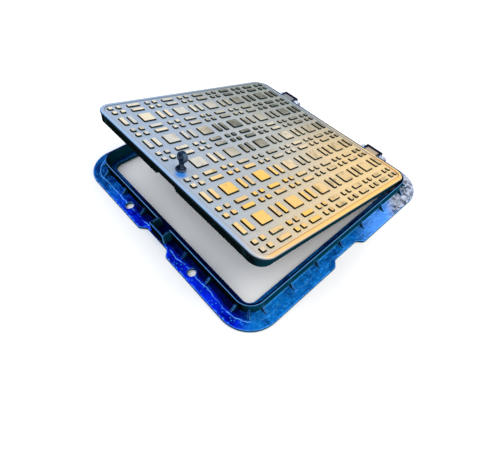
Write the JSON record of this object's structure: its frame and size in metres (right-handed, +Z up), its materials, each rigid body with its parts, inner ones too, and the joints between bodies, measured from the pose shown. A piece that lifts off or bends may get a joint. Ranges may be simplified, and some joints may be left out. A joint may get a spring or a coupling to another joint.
{
  "type": "hinged manhole cover and frame",
  "caption": "Square cast cover with a raised block tread, hinged along one side of a flanged, gusseted frame, with a swivelling lifting eye on the opposite side, standing slightly open.",
  "frame": {"origin": "middle of the frame's underside, on the plane the frame is bedded on", "axes": "+X along the hinge, +Y from the lifting side to the hinge side, +Z up"},
  "size_m": [0.746, 0.746, 0.2497],
  "materials": {
    "frame_iron": "glossy deep blue coating over rough ductile iron",
    "cover_iron": "worn bare ductile iron, semi-gloss, dark coated skirt",
    "hinge_steel": "zinc-plated steel, slightly stained",
    "eye_steel": "blue-black coated forged steel with bright wear"
  },
  "bodies": {
    "frame": {"frame": "frame_iron", "hinge_bolt_left": "hinge_steel", "hinge_head_washer_left": "hinge_steel", "hinge_nut_washer_left": "hinge_steel", "hinge_nut_left": "hinge_steel", "hinge_lock_nut_left": "hinge_steel", "hinge_bolt_right": "hinge_steel", "hinge_head_washer_right": "hinge_steel", "hinge_nut_washer_right": "hinge_steel", "hinge_nut_right": "hinge_steel", "hinge_lock_nut_right": "hinge_steel"},
    "cover": {"cover": "cover_iron", "eyebolt_washer": "hinge_steel"},
    "eye": {"lifting_eyebolt": "eye_steel", "eyebolt_castle_nut": "hinge_steel", "eyebolt_split_pin": "hinge_steel"}
  },
  "joints": [
    {"name": "cover_hinge", "type": "hinge", "parent": "frame", "child": "cover", "pos_m": [0, 0.3375, 0.0365], "axis": [-1, 0, 0], "range_deg": [-15, 95]},
    {"name": "eye_swivel", "type": "hinge", "parent": "cover", "child": "eye", "pos_m": [0.005, -0.25772, 0.20096], "axis": [0, 0.2588, 0.9659], "continuous": true}
  ]
}
